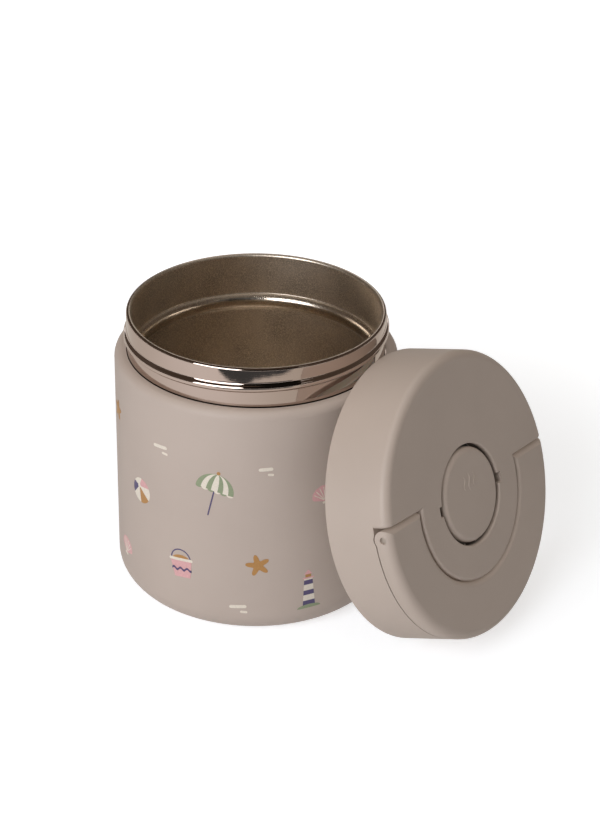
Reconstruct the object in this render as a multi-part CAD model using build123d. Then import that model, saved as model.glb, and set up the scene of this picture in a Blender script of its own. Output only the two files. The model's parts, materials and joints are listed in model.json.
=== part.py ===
"""Insulated food jar with its screw-on lid taken off and leaned against the neck.

The jar stands on the floor with its axis on Z and its origin at the centre of the foot. The lid is
modelled in its own frame, with the open end of the skirt at height 0 and the hinge of the carry
handle along local X, and is then placed as one group. Millimetres throughout.
"""

from build123d import *
from math import cos, radians, sin, tan
import os

# ---- Jar: painted outer shell --------------------------------------------------------------------
body_radius = 52.0
height_ratio = 1.79615        # height of the shoulder to the body's radius
shell_wall = 0.8
shoulder_fillet = 3.0
base_fillet = 10.0
foot_width = 2.0              # flat foot ring inside the rounded corner
neck_gap = 0.25               # open line between the painted shoulder and the bare neck

# ---- Jar: neck ---------------------------------------------------------------------------------
shoulder_width = 4.6
neck_height = 15.2            # from the shoulder to the rim
neck_wall = 0.8
neck_flange = 1.5             # how far the flange reaches out under the shoulder
bead_height = 3.3
bead_depth = 1.1
bead_rise = 8.5               # from the shoulder to the middle of the bead
bead_slope = 1.0
rim_lip = 1.9                 # thickness of the rounded rim
rim_depth = 1.8

# ---- Jar: inner vessel ---------------------------------------------------------------------------
liner_wall = 0.7
ledge_step = 0.7              # from the mouth in to the circle that the lid's ring seals on
ledge_drop = 16.3             # from the rim down to the ledge, the top of the rolled throat
ledge_fall = 0.75             # slope of the ledge, from the mouth in to the throat
ledge_round = 0.3             # hollow round between the mouth and the ledge
throat_step = 1.4             # from the sealing circle in to the narrowest part of the throat
throat_roll = 2.9             # radius of the rolled throat
throat_drop = 20.7            # from the rim down to where the throat turns outward again
throat_fall = 1.9             # height of the slope back out to the straight wall
throat_hook = 1.2             # from the throat out to the straight wall below it
throat_round = 1.2
liner_floor = 11.0
liner_fillet = 14.0
getter_radius = 9.0
getter_height = 1.5

# ---- Jar: base cup --------------------------------------------------------------------------------
base_wall = 0.8
base_flange = 1.9             # overlap of the base cup on the foot ring
base_rise = 2.2               # how far the middle of the base cup stands above the foot ring
base_ramp = 2.0
dimple_radius = 7.0
dimple_rise = 1.6
seal_radius = 5.0
seal_height = 1.1

# ---- Lid: cover -----------------------------------------------------------------------------------
lid_height = 25.9
skirt_overhang = 0.7          # beyond the jar's wall
lid_taper = 0.9               # from the skirt's edge to the face, on the radius
face_fillet = 3.2
skirt_edge = 0.6
recess_edge = 1.0             # round on the face's edge along the handle's recess
well_edge = 0.7               # round on the face's edge round the button
cover_wall = 2.3
roof_depth = 8.5              # from the face to the underside of the decks, seat of the inner lid
tongue_radius = 30.9
well_radius = 18.4
well_lip = 3.0                # thickness of the lip that holds the button in
well_undercut = 1.95
well_wall = 1.5
slot_width = 4.0
deck_wall = 2.3
tongue_wall = 1.6
rib_width = 1.4
rib_count = 7

# ---- Lid: carry handle -----------------------------------------------------------------------------
handle_thickness = 5.85
handle_gap = 0.42
handle_end = 3.4              # radius of the rounded ends about the pins
handle_inner_edge = 2.1
handle_corner = 1.8           # plan corners of the handle, beside the tongue
step_rise = 0.35              # how much further the steps lie at the lid's side than at the tongue
hinge_offset = 1.0            # hinge line to the lid's axis, towards the fixed half
hinge_depth = 3.0             # hinge line below the face
pin_radius = 1.2
pin_running_gap = 0.05
pin_seat = 3.2                # length of a pin held in the tongue
pin_sink = 0.7                # how far a pin's head sits below the handle's side

# ---- Lid: inner lid, plug and sealing ring -----------------------------------------------------------
inner_lid_gap = 0.05
inner_lid_wall = 1.4
inner_lid_lift = 1.2          # open end of the threaded wall above the skirt's edge
plug_clearance = 0.8          # between the plug and the ledge
plug_wall = 1.6
ring_groove_depth = 1.1
ring_groove_top = 4.7
plug_base_height = 0.5
plug_base_flange = 0.9
plug_base_plate = 1.6
plug_base_gap = 0.05
ring_squeeze = 0.4            # how far the ring's lip reaches over the ledge
ring_lip_reach = 0.3          # lip beyond the ring's body
ring_lip = 1.15
ring_clearance = 0.05
ring_height_low = 0.2
foam_gap = 0.15
foam_bore = 8.6

# ---- Lid: vent button --------------------------------------------------------------------------------
button_gap = 1.2
button_rise = 0.1             # how far the button stands above the face
button_plate = 1.8
button_wall = 1.6
button_edge = 2.1
button_travel = 2.2
press_gap = 0.3               # left under the button when it is pressed home
ear_height = 1.9
ear_width = 3.6
ear_gap = 0.35
ear_reach_gap = 0.4           # between an ear and the wall of the undercut
stem_radius = 2.0
stem_running_gap = 0.08
stem_boss = 2.0               # wall of the button's boss round the stem
guide_wall = 1.5
guide_flange = 1.6
vent_recess_radius = 6.5
vent_recess_depth = 1.4
vent_seal_radius = 5.6
vent_seal_height = 1.3
vent_seal_gap = 0.4
stem_head_radius = 3.2
stem_head_height = 0.9
spring_radius = 7.2
spring_wire = 0.45
spring_turns = 3.5
spring_seat_gap = 0.03

# ---- Where the lid leans -----------------------------------------------------------------------------
lid_lean = 18.1               # degrees that the lid's axis rises above the floor
lid_heading = -35.15          # compass heading of the face
lid_bearing = -29.8           # compass bearing of the lid from the jar
lid_spin = 5.6                # turn of the hinge line in the face, seen from outside, clockwise
lean_gap = 0.3


def turned(*points):
    """Turn a closed outline of (radius, height) or (radius, height, fillet) corners about Z."""
    corners = [(point[0], point[1]) for point in points]
    fillets = [point[2] if len(point) > 2 else 0 for point in points]
    with BuildPart() as solid:
        with BuildSketch(Plane.XZ):
            with BuildLine():
                FilletPolyline(*corners, radius=fillets, close=True)
            make_face()
        revolve(axis=Axis.Z)
    return solid.part


def tube(outer, inner, low, high):
    """A plain tube about Z."""
    return turned((inner, low), (outer, low), (outer, high), (inner, high))


def rod(radius, low, high):
    """A plain cylinder about Z."""
    return turned((0, low), (radius, low), (radius, high), (0, high))


def slab(x_low, x_high, y_low, y_high, z_low, z_high):
    """A box between two corners."""
    size = (x_high - x_low, y_high - y_low, z_high - z_low)
    middle = ((x_high + x_low) / 2, (y_high + y_low) / 2, (z_high + z_low) / 2)
    return Pos(*middle) * Box(*size)


# ---- Sizes that the pieces of the jar share ------------------------------------------------------------
shoulder_height = height_ratio * body_radius
foot_radius = body_radius - base_fillet - foot_width
neck_radius = body_radius - shoulder_width
mouth_radius = neck_radius - rim_lip
ledge_radius = mouth_radius - ledge_step
throat_radius = ledge_radius - throat_step
liner_radius = throat_radius + throat_hook
shoulder_under = shoulder_height - shell_wall
rim_height = shoulder_height + neck_height
rim_seam = neck_radius - rim_lip / 2
ledge_height = rim_height - ledge_drop
throat_height = rim_height - throat_drop
bead_middle = shoulder_height + bead_rise


def make_outer_shell():
    """Painted shell: foot ring, rounded base corner, straight wall and rolled shoulder."""
    inner = body_radius - shell_wall
    hole = neck_radius + neck_gap
    return turned(
        (foot_radius, 0),
        (body_radius, 0, base_fillet),
        (body_radius, shoulder_height, shoulder_fillet),
        (hole, shoulder_height),
        (hole, shoulder_under),
        (inner, shoulder_under, shoulder_fillet - shell_wall),
        (inner, shell_wall, base_fillet - shell_wall),
        (foot_radius, shell_wall),
    )


def make_neck():
    """Bare neck with its flange under the shoulder, the rolled bead and the outer half of the rim."""
    inner = neck_radius - neck_wall
    flange = neck_radius + neck_flange
    crest = neck_radius + bead_depth
    bead_low = bead_middle - bead_height / 2
    bead_high = bead_middle + bead_height / 2
    rounding = bead_slope / 2
    return turned(
        (neck_radius, shoulder_under),
        (neck_radius, bead_low, rounding),
        (crest, bead_low + bead_slope, rounding),
        (crest, bead_high - bead_slope, rounding),
        (neck_radius, bead_high, rounding),
        (neck_radius, rim_height, rim_lip / 2 * 0.9),
        (rim_seam, rim_height),
        (rim_seam, rim_height - rim_depth),
        (inner, rim_height - rim_depth - neck_wall),
        (inner, shoulder_under - neck_wall),
        (flange, shoulder_under - neck_wall),
        (flange, shoulder_under),
    )


def make_liner():
    """Inner vessel: inner half of the rim, sealing ledge, rolled throat, straight wall and floor."""
    outer = liner_radius + liner_wall
    neck_outer = mouth_radius + liner_wall
    throat_outer = throat_radius + liner_wall
    roll_top = ledge_height - ledge_fall
    roll_outer = throat_roll - liner_wall
    foot_of_roll = throat_height - throat_fall
    return turned(
        (rim_seam, rim_height),
        (mouth_radius, rim_height, rim_lip / 2 * 0.9),
        (mouth_radius, ledge_height, ledge_round),
        (throat_radius, roll_top, throat_roll),
        (throat_radius, throat_height, throat_roll),
        (liner_radius, foot_of_roll, throat_round),
        (liner_radius, liner_floor, liner_fillet),
        (0, liner_floor),
        (0, liner_floor - liner_wall),
        (outer, liner_floor - liner_wall, liner_fillet + liner_wall),
        (outer, foot_of_roll + liner_wall * 0.3, throat_round),
        (throat_outer, throat_height + liner_wall * 0.3, roll_outer),
        (throat_outer, roll_top - liner_wall * 0.7, roll_outer),
        (neck_outer, ledge_height - liner_wall * 0.7),
        (neck_outer, rim_height - rim_depth - liner_wall),
        (rim_seam, rim_height - rim_depth),
    )


base_outer = foot_radius + base_flange
base_level = shell_wall
base_deck = base_level + base_rise
dimple_deck = base_deck + dimple_rise


def make_base_cup():
    """Base cup that lies on the foot ring, dished up in the middle, with a dimple for the seal."""
    ramp = foot_radius - base_ramp
    return turned(
        (base_outer, base_level),
        (base_outer, base_level + base_wall),
        (foot_radius, base_level + base_wall),
        (ramp, base_deck + base_wall, base_wall),
        (dimple_radius + base_wall, base_deck + base_wall),
        (dimple_radius + base_wall / 2, dimple_deck + base_wall),
        (0, dimple_deck + base_wall),
        (0, dimple_deck),
        (dimple_radius - base_wall / 2, dimple_deck),
        (dimple_radius, base_deck),
        (ramp - base_wall / 2, base_deck, base_wall),
        (foot_radius - base_wall / 2, base_level),
    )


def make_vacuum_seal():
    """Round button that closes the pumping hole, up in the dimple of the base cup."""
    low = dimple_deck - seal_height
    return turned(
        (0, low), (seal_radius, low, seal_height / 3), (seal_radius, dimple_deck), (0, dimple_deck)
    )


def make_getter():
    """Getter disc under the floor of the inner vessel."""
    high = liner_floor - liner_wall
    return rod(getter_radius, high - getter_height, high)


# ---- Sizes that the pieces of the lid share --------------------------------------------------------------
skirt_radius = body_radius + skirt_overhang
face_radius = skirt_radius - lid_taper
roof_height = lid_height - roof_depth
plug_radius = ledge_radius - plug_clearance
ring_reach = ledge_radius + ring_squeeze
ring_body_radius = ring_reach - ring_lip_reach
hinge_height = lid_height - hinge_depth
handle_low = lid_height - handle_thickness
recess_floor = handle_low - handle_gap
trough_floor = hinge_height - handle_end - handle_gap
chord_offset = hinge_offset + handle_end + handle_gap
handle_inner = tongue_radius + handle_gap
undercut_radius = well_radius + well_undercut
undercut_top = lid_height - well_lip
well_outer = undercut_radius + well_wall
cover_inner = skirt_radius - cover_wall
far = 2 * skirt_radius


def lid_side(height):
    """Radius of the lid's tapered side at a height above the skirt's edge."""
    return skirt_radius + (face_radius - skirt_radius) * height / lid_height


def along_hinge(shape):
    """Turn a shape made about Z so that it lies about the hinge line."""
    return Pos(0, hinge_offset, hinge_height) * Rot(0, 90, 0) * shape


def make_lid_blank():
    """Outer form of the lid, filled, which the cover and the handle are both cut from."""
    return turned(
        (0, 0), (skirt_radius, 0, skirt_edge), (face_radius, lid_height, face_fillet), (0, lid_height)
    )


def make_ring_blank(inner, low, inner_edge):
    """The outer part of the lid's form, from a round inner wall outward and from a height upward."""
    ring = turned((inner, low), (far, low), (far, lid_height + 1), (inner, lid_height + 1))
    ring = make_lid_blank() & ring
    if inner_edge:
        top = ring.edges().filter_by(GeomType.CIRCLE).group_by(Axis.Z)[-1].sort_by(SortBy.RADIUS)[0]
        ring = fillet(top, inner_edge)
    return ring


def half_ring(inner, step, low, high, corner=0):
    """Everything outside a round wall and on the handle's side of two steps that open outward a little."""
    slope = step_rise / (face_radius - inner)
    outer = step + (far - inner) * slope
    with BuildPart() as solid:
        with BuildSketch(Plane.XY.offset(low)):
            with BuildLine():
                middle = (0, step - inner * slope)
                Polyline(middle, (-far, outer), (-far, -far), (far, -far), (far, outer), close=True)
            make_face()
            Circle(inner, mode=Mode.SUBTRACT)
            if corner:
                beside_wall = [vertex for vertex in vertices() if abs(vertex.Y - step) < corner / 10]
                fillet([vertex for vertex in beside_wall if abs(vertex.X) < inner + corner], corner)
        extrude(amount=high - low)
    return solid.part


def face_edges(shape):
    """Edges of a piece of the lid that lie in the plane of the face."""
    near = skirt_edge / 10
    return shape.edges().filter_by_position(Axis.Z, lid_height - near, lid_height + near)


def bounds_recess(edge):
    """Whether an edge in the plane of the face runs along the handle's recess."""
    return edge.geom_type == GeomType.LINE or abs(edge.radius - tongue_radius) < skirt_edge


def make_lid_cover():
    """Lid cover: skirt, face, handle recess with its square ends, button well, slots and pin bores."""
    cover = make_lid_blank() - rod(cover_inner, -1, roof_height)
    cover -= rod(well_radius, roof_height - 1, lid_height + 1)
    cover = fillet(face_edges(cover).sort_by(SortBy.RADIUS)[0], well_edge)

    # recess of the handle: flat floor, with a round trough about the hinge line where the ends turn
    recess = half_ring(tongue_radius, chord_offset, recess_floor, lid_height + 1)
    trough = half_ring(tongue_radius, chord_offset, trough_floor - 1, recess_floor)
    trough &= along_hinge(rod(handle_end + handle_gap, -far, far))
    cover -= recess + trough
    cover = fillet([edge for edge in face_edges(cover) if bounds_recess(edge)], recess_edge)

    # undercut of the button well, and the two slots that let the ears in
    cover -= rod(undercut_radius, roof_height - 1, undercut_top)
    slots = slab(-far, far, -slot_width / 2, slot_width / 2, undercut_top - 1, lid_height + 1)
    cover -= slots & rod(undercut_radius, undercut_top - 1, lid_height + 1)

    # hollow under the face of the fixed half and under the tongue, with ribs left standing
    hollow = tube(cover_inner - deck_wall, well_outer, roof_height - 1, lid_height - deck_wall)
    hollow &= slab(-far, far, chord_offset + deck_wall, far, 0, far)
    under_tongue = tube(tongue_radius - tongue_wall, well_outer, roof_height - 1, lid_height - deck_wall)
    hollow += under_tongue
    boss = pin_seat + tongue_wall
    keep = slab(
        -far, far, hinge_offset - 2 * pin_radius, hinge_offset + 2 * pin_radius, 0, far
    ) & tube(tongue_radius, tongue_radius - boss, 0, far)
    for step in range(rib_count):
        angle = 180 * (step + 0.5) / rib_count
        keep += Rot(0, 0, angle) * slab(well_radius, far, -rib_width / 2, rib_width / 2, 0, far)
    cover -= hollow - keep

    # bores of the two pivot pins, blind in the tongue
    bore_inner = tongue_radius - pin_seat
    for side in (-1, 1):
        ends = sorted((side * bore_inner, side * (tongue_radius + 1)))
        cover -= along_hinge(rod(pin_radius, *ends))
    return cover


def make_carry_handle():
    """Half-ring handle, flush with the lid, with ends rounded about the pins."""
    ring = make_ring_blank(handle_inner, handle_low, handle_inner_edge)
    arm = ring & slab(-far, far, -far, hinge_offset, 0, far)
    end_ring = make_ring_blank(handle_inner, trough_floor, handle_inner_edge)
    ends = end_ring & along_hinge(rod(handle_end, -far, far))
    handle = arm + ends
    reach = hinge_offset + handle_end
    handle &= half_ring(handle_inner, reach, trough_floor, lid_height + 1, handle_corner)
    for side in (-1, 1):
        span = sorted((side * (handle_inner - 1), side * far))
        handle -= along_hinge(rod(pin_radius + pin_running_gap, *span))
    return handle


def make_pivot_pin(side):
    """Steel pin on the hinge line, held in the tongue and sunk a little in the handle's side."""
    outer = lid_side(hinge_height) - pin_sink
    inner = tongue_radius - pin_seat
    blank = rod(pin_radius, *sorted((side * inner, side * outer)))
    return along_hinge(blank)


def make_inner_lid():
    """Inner lid: roof, wall for the thread, and the wall of the plug with the groove of its ring."""
    outer = cover_inner - inner_lid_gap
    thread_wall = outer - inner_lid_wall
    under = roof_height - inner_lid_wall
    groove = plug_radius - ring_groove_depth
    plug_low = plug_base_height + plug_base_flange
    bore = stem_radius + stem_running_gap + guide_wall + inner_lid_gap
    return turned(
        (bore, roof_height),
        (outer, roof_height),
        (outer, inner_lid_lift),
        (thread_wall, inner_lid_lift),
        (thread_wall, under),
        (plug_radius, under),
        (plug_radius, ring_groove_top),
        (groove, ring_groove_top),
        (groove, plug_low),
        (groove - plug_wall, plug_low),
        (groove - plug_wall, under),
        (bore, under),
    )


def make_plug_base():
    """Bottom of the plug: flange under the wall, flat plate and raised vent seat in the middle."""
    groove = plug_radius - ring_groove_depth
    fit = groove - plug_wall - plug_base_gap
    flange_top = plug_base_height + plug_base_flange
    plate_top = plug_base_height + plug_base_plate
    seat = plug_base_height + vent_recess_depth
    bore = stem_radius + stem_running_gap + guide_wall / 2
    wall = vent_recess_radius + plug_base_plate
    return turned(
        (groove, plug_base_height),
        (groove, flange_top),
        (fit, flange_top),
        (fit, plate_top),
        (wall, plate_top),
        (wall, seat + plug_base_plate),
        (bore, seat + plug_base_plate),
        (bore, seat),
        (vent_recess_radius, seat),
        (vent_recess_radius, plug_base_height),
    )


def make_sealing_ring():
    """Silicone ring in the plug's groove, with a lip that presses on the jar's ledge."""
    groove = plug_radius - ring_groove_depth
    inner = groove + ring_clearance
    lip_top = ring_height_low + ring_lip
    high = ring_groove_top - ring_clearance
    return turned(
        (inner, ring_height_low),
        (ring_reach, ring_height_low, ring_lip / 3),
        (ring_reach, lip_top, ring_lip / 3),
        (ring_body_radius, lip_top + ring_lip / 2),
        (ring_body_radius, high),
        (inner, high),
    )


def make_foam_insert():
    """Foam disc that fills the plug round the stem guide."""
    outer = plug_radius - ring_groove_depth - plug_wall - foam_gap
    low = plug_base_height + plug_base_plate
    high = roof_height - inner_lid_wall
    return tube(outer, foam_bore, low + foam_gap, high)


guide_radius = stem_radius + stem_running_gap + guide_wall


def make_stem_guide():
    """Tube that guides the stem through the roof and the foam, with a flange under the roof."""
    low = plug_base_height + vent_recess_depth + plug_base_plate
    under = roof_height - inner_lid_wall
    bore = stem_radius + stem_running_gap
    return turned(
        (bore, low),
        (guide_radius, low),
        (guide_radius, under - inner_lid_wall),
        (guide_radius + guide_flange, under - inner_lid_wall),
        (guide_radius + guide_flange, under),
        (guide_radius, under),
        (guide_radius, roof_height),
        (bore, roof_height),
    )


button_radius = well_radius - button_gap
button_top = lid_height + button_rise
button_under = button_top - button_plate
button_low = roof_height + button_travel + press_gap


def make_vent_button():
    """Button: flat cap with a rounded edge, a skirt, two ears under the well's lip, and a boss."""
    inner = button_radius - button_wall
    boss = stem_radius + stem_boss
    button = turned(
        (0, button_top),
        (button_radius, button_top, button_edge),
        (button_radius, button_low),
        (inner, button_low),
        (inner, button_under),
        (boss, button_under),
        (boss, button_low),
        (stem_radius, button_low),
        (stem_radius, button_under),
        (0, button_under),
    )
    ear_top = undercut_top - ear_gap
    ear_root = button_radius - button_wall / 2
    ears = tube(undercut_radius - ear_reach_gap, ear_root, ear_top - ear_height, ear_top)
    ears &= slab(-ear_width / 2, ear_width / 2, -far, far, 0, far)
    return button + ears


vent_seat = plug_base_height + vent_recess_depth
vent_seal_high = vent_seat - vent_seal_gap
vent_seal_low = vent_seal_high - vent_seal_height


def make_vent_stem():
    """Stem from the button's boss down to the head that carries the vent seal."""
    head_low = vent_seal_low - stem_head_height
    return turned(
        (0, head_low),
        (stem_head_radius, head_low, stem_head_height / 3),
        (stem_head_radius, vent_seal_low),
        (stem_radius, vent_seal_low),
        (stem_radius, button_under),
        (0, button_under),
    )


def make_vent_seal():
    """Silicone washer that closes the vent from below."""
    return turned(
        (stem_radius, vent_seal_low),
        (vent_seal_radius, vent_seal_low, vent_seal_height / 4),
        (vent_seal_radius, vent_seal_high, vent_seal_height / 4),
        (stem_radius, vent_seal_high),
    )


def make_button_spring():
    """Coil spring between the roof of the inner lid and the underside of the button."""
    low = roof_height + spring_wire + spring_seat_gap
    high = button_under - spring_wire - spring_seat_gap
    path = Helix(pitch=(high - low) / spring_turns, height=high - low, radius=spring_radius)
    start = Plane(origin=path @ 0, z_dir=path % 0)
    coil = sweep(start * Circle(spring_wire), path=path, is_frenet=True)
    return Pos(0, 0, low) * coil


def lid_placement():
    """Place of the lid: its skirt stands on the floor and its open end lies against the shoulder."""
    lean = radians(lid_lean)
    heading = radians(lid_heading)
    centre_height = skirt_radius * cos(lean)
    top_height = 2 * centre_height
    clear = lean_gap / cos(lean)
    on_shoulder = (
        body_radius - shoulder_fillet
        + (min(shoulder_height - shoulder_fillet, top_height) - centre_height) * tan(lean)
        + shoulder_fillet / cos(lean)
    )
    on_bead = neck_radius + bead_depth + (min(bead_middle, top_height) - centre_height) * tan(lean)
    on_rim = neck_radius + (min(rim_height, top_height) - centre_height) * tan(lean)
    stand_off = max(on_shoulder, on_bead, on_rim) + clear
    bearing = radians(lid_bearing)
    centre = Vector(stand_off * cos(bearing), stand_off * sin(bearing), centre_height)
    normal = Vector(cos(lean) * cos(heading), cos(lean) * sin(heading), sin(lean))
    right = Vector(-sin(heading), cos(heading), 0)
    up = normal.cross(right)
    spin = radians(lid_spin)
    hinge = right * cos(spin) - up * sin(spin)
    return Plane(origin=centre, x_dir=hinge, z_dir=normal)


jar_pieces = {
    "outer_shell": make_outer_shell(),
    "neck_ring": make_neck(),
    "inner_vessel": make_liner(),
    "base_cup": make_base_cup(),
    "vacuum_seal": make_vacuum_seal(),
    "getter": make_getter(),
}
lid_pieces = {
    "lid_cover": make_lid_cover(),
    "carry_handle": make_carry_handle(),
    "pivot_pin_left": make_pivot_pin(-1),
    "pivot_pin_right": make_pivot_pin(1),
    "inner_lid": make_inner_lid(),
    "plug_base": make_plug_base(),
    "sealing_ring": make_sealing_ring(),
    "foam_insert": make_foam_insert(),
    "stem_guide": make_stem_guide(),
    "vent_button": make_vent_button(),
    "vent_stem": make_vent_stem(),
    "vent_seal": make_vent_seal(),
    "button_spring": make_button_spring(),
}

lid_plane = lid_placement()
os.makedirs("parts", exist_ok=True)
for name, piece in jar_pieces.items():
    export_step(piece, f"parts/{name}.step")
for name, piece in lid_pieces.items():
    export_step(lid_plane.location * piece, f"parts/{name}.step")

print("lid frame origin", lid_plane.origin, "hinge", lid_plane.x_dir, "normal", lid_plane.z_dir)
print("hinge line through", (lid_plane.location * Pos(0, hinge_offset, hinge_height)).position)
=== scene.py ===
"""Looks of an insulated food jar whose screw-on lid stands beside it, leaned on its shoulder.

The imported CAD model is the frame: every piece made here rides on one of its bodies. Lengths are in
metres, apart from those of the printed motifs, which are in millimetres. Angles are in degrees.
"""

import json
import logging
import math
from dataclasses import dataclass, field
from enum import Enum
from typing import Any, Iterator, Sequence

import bpy
import numpy as np
from mathutils import Matrix, Vector


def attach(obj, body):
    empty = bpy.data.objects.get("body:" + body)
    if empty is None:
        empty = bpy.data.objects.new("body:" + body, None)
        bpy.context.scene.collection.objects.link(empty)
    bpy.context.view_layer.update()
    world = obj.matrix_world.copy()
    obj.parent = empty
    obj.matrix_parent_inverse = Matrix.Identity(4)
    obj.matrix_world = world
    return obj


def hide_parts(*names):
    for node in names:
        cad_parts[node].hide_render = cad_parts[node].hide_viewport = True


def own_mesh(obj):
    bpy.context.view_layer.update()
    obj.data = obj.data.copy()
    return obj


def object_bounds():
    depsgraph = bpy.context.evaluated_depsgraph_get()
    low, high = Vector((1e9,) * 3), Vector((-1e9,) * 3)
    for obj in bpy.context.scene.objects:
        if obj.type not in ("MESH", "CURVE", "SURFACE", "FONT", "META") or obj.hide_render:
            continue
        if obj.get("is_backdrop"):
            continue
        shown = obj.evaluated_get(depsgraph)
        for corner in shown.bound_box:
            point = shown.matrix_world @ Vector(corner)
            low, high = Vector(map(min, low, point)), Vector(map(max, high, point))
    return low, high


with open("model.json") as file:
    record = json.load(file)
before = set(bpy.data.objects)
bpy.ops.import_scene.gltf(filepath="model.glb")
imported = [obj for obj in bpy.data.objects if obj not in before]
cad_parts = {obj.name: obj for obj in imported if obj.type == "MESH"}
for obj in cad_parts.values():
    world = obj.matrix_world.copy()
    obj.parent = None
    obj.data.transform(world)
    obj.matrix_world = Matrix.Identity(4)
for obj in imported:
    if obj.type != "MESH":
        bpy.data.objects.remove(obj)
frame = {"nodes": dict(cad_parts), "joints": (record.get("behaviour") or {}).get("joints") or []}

LOG = logging.getLogger("food_jar")
MM = 0.001
TURN = 2 * math.pi
MERGE = 1e-7
WHITE = (1.0, 1.0, 1.0, 1.0)

Point = tuple[float, float]
Place = tuple[float, float, float]
Colour = tuple[int, int, int]
Piece = bpy.types.Object
Look = bpy.types.Material
Node = bpy.types.Node
Socket = bpy.types.NodeSocket


class Body(Enum):
    """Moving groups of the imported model."""

    JAR = "jar"
    LID = "lid"
    BUTTON = "button"


class Slot(Enum):
    """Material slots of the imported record."""

    PAINT = "painted_shell"
    POLISHED = "polished_steel"
    SATIN = "satin_steel"
    BASE = "base_steel"
    LID = "lid_plastic"
    INNER = "inner_plastic"
    PIN = "pin_steel"
    SILICONE = "silicone"
    FOAM = "foam"


class Ink(Enum):
    """Inks of the printed decor, as screen colours from 0 to 255."""

    NAVY = (76, 66, 104)
    ROSE = (205, 156, 156)
    SAGE = (132, 142, 112)
    CREAM = (214, 204, 190)
    MUSTARD = (168, 122, 66)


# ---- Bench work ----


def linear(colour: Sequence[float], gain: float = 1.0) -> tuple[float, float, float, float]:
    """Turn a screen colour into the light values of shaders, times a gain and with an alpha of one."""
    shares = [channel / 255 for channel in colour]
    return (*(gain * (s / 12.92 if s <= 0.04045 else ((s + 0.055) / 1.055) ** 2.4) for s in shares), 1.0)


def direction(bearing: float, elevation: float) -> Vector:
    """Return the unit vector towards a bearing and an elevation."""
    turn, rise = math.radians(bearing), math.radians(elevation)
    return Vector((math.cos(turn) * math.cos(rise), math.sin(turn) * math.cos(rise), math.sin(rise)))


def clear_bench() -> None:
    """Leave edit mode and select nothing, so that the next operator meets only its own piece."""
    if bpy.context.object is not None and bpy.context.object.mode != "OBJECT":
        close_mesh()
    bpy.ops.object.select_all(action="DESELECT")


def take_up(piece: Piece) -> None:
    """Select one piece alone and make it active.

    Args:
        piece: The piece.
    """
    clear_bench()
    piece.select_set(True)
    bpy.context.view_layer.objects.active = piece


def open_mesh(piece: Piece, mode: str = "VERT", selected: bool = True) -> None:
    """Take a piece into edit mode.

    Args:
        piece: The piece to work on.
        mode: VERT, EDGE or FACE.
        selected: Whether everything is selected, or nothing.
    """
    take_up(piece)
    bpy.ops.object.mode_set(mode="EDIT")
    bpy.ops.mesh.select_mode(type=mode)
    bpy.ops.mesh.select_all(action="SELECT" if selected else "DESELECT")


def close_mesh() -> None:
    """Go back to object mode."""
    bpy.ops.object.mode_set(mode="OBJECT")


def use_modifier(piece: Piece, kind: str, **settings: Any) -> None:
    """Add one modifier, set it up and apply it.

    Args:
        piece: The piece that is changed.
        kind: Blender's name of the modifier's type.
        **settings: Values of the modifier.
    """
    take_up(piece)
    modifier = piece.modifiers.new(kind.lower(), kind)
    for name, value in settings.items():
        setattr(modifier, name, value)
    bpy.ops.object.modifier_apply(modifier=modifier.name)


def join_pieces(pieces: Sequence[Piece], name: str) -> Piece:
    """Join several pieces into one.

    Args:
        pieces: The pieces, of which the first stays.
        name: Name of the joined piece.

    Returns:
        The joined piece.
    """
    take_up(pieces[0])
    for piece in pieces:
        piece.select_set(True)
    bpy.ops.object.join()
    joined = bpy.context.object
    joined.name = joined.data.name = name
    return joined


def tidy_surface(piece: Piece) -> None:
    """Merge doubles and point all faces outwards.

    Args:
        piece: The piece.
    """
    open_mesh(piece)
    bpy.ops.mesh.remove_doubles(threshold=MERGE)
    bpy.ops.mesh.dissolve_degenerate(threshold=MERGE)
    bpy.ops.mesh.select_all(action="SELECT")
    bpy.ops.mesh.normals_make_consistent(inside=False)
    close_mesh()


def finish_piece(piece: Piece, angle: float, body: Body, slot: Slot | None, look: Look) -> None:
    """Shade a piece smooth and give it its material and its body.

    Args:
        piece: The finished piece, in place.
        angle: Edges sharper than this stay crisp.
        body: Body that it rides on.
        slot: Slot of the record, or None; not used.
        look: Material of the whole piece.
    """
    take_up(piece)
    bpy.ops.object.shade_smooth_by_angle(angle=math.radians(angle))
    piece.data.materials.clear()
    piece.data.materials.append(look)
    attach(piece, body.value)
    LOG.info("%s: %d faces, rides on %s", piece.name, len(piece.data.polygons), body.value)


def dress_nodes(look: Look, slot: Slot, *names: str) -> None:
    """Give CAD nodes their material, and leave their shapes and places alone.

    Args:
        look: The material.
        slot: Slot of the record; not used.
        *names: Names of the nodes.
    """
    for name in names:
        node = frame["nodes"][name]
        node.data.materials.clear()
        node.data.materials.append(look)
        LOG.info("%s: dressed as %s", name, look.name)


def read_vertices(piece: Piece) -> np.ndarray:
    """Read where a piece's vertices are.

    Args:
        piece: The piece.

    Returns:
        Rows of x, y and z.
    """
    flat = np.empty(len(piece.data.vertices) * 3)
    piece.data.vertices.foreach_get("co", flat)
    return flat.reshape(-1, 3)


def write_vertices(piece: Piece, places: np.ndarray) -> None:
    """Put a piece's vertices at new places."""
    piece.data.vertices.foreach_set("co", places.ravel())
    piece.data.update()


def grow(places: np.ndarray, radius: np.ndarray) -> None:
    """Move points straight away from Z, or towards it, until they have a new radius."""
    places[:, :2] *= (radius / np.hypot(places[:, 0], places[:, 1]))[:, None]


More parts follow.
